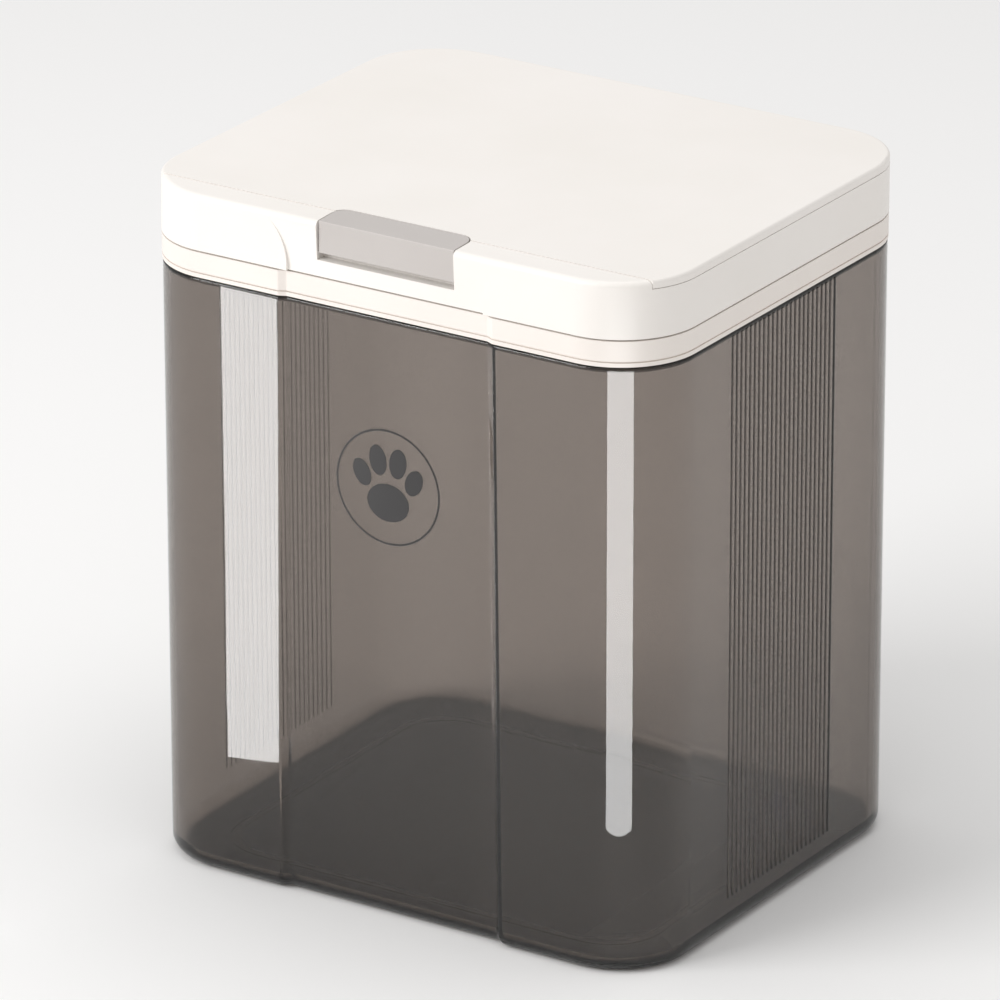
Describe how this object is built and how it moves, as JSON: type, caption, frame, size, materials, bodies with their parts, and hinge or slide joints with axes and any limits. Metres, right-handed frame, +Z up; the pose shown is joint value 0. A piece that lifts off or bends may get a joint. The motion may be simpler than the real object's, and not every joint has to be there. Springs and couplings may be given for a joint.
{
  "type": "pet food bin",
  "caption": "Clear ribbed pet food bin with a white collar, a flip lid hinged at the back and a grey press latch at the front.",
  "frame": {"origin": "on the ground, under the middle of the tub", "axes": "+Z up, -Y is the front with the latch, +X to the right seen from the front"},
  "size_m": [0.2602, 0.226, 0.312],
  "materials": {
    "clear_tub": "clear smoke-tinted PET",
    "white_plastic": "satin",
    "inner_white": "satin",
    "latch_grey": "satin",
    "seal": "soft silicone",
    "steel": "plain"
  },
  "bodies": {
    "bin": {"bin_body": "clear_tub", "collar_ring": "white_plastic", "hinge_pin_left": "steel", "hinge_pin_right": "steel"},
    "lid": {"lid_shell": "white_plastic", "lid_top_panel": "white_plastic", "lid_liner": "inner_white", "lid_gasket": "seal", "liner_screws": "steel", "latch_pin": "steel", "latch_spring_left": "steel", "latch_spring_right": "steel"},
    "latch": {"latch_button": "latch_grey"}
  },
  "joints": [
    {"name": "lid_hinge", "type": "hinge", "parent": "bin", "child": "lid", "pos_m": [0, 0.112, 0.2863], "axis": [-1, 0, 0], "range_deg": [0, 100]},
    {"name": "button_press", "type": "hinge", "parent": "lid", "child": "latch", "pos_m": [0, -0.095, 0.305], "axis": [1, 0, 0], "range_deg": [0, 8], "stiffness_Nm_per_rad": 0.06, "springref_deg": -11.46, "deforming": ["latch_spring_left", "latch_spring_right"]}
  ]
}
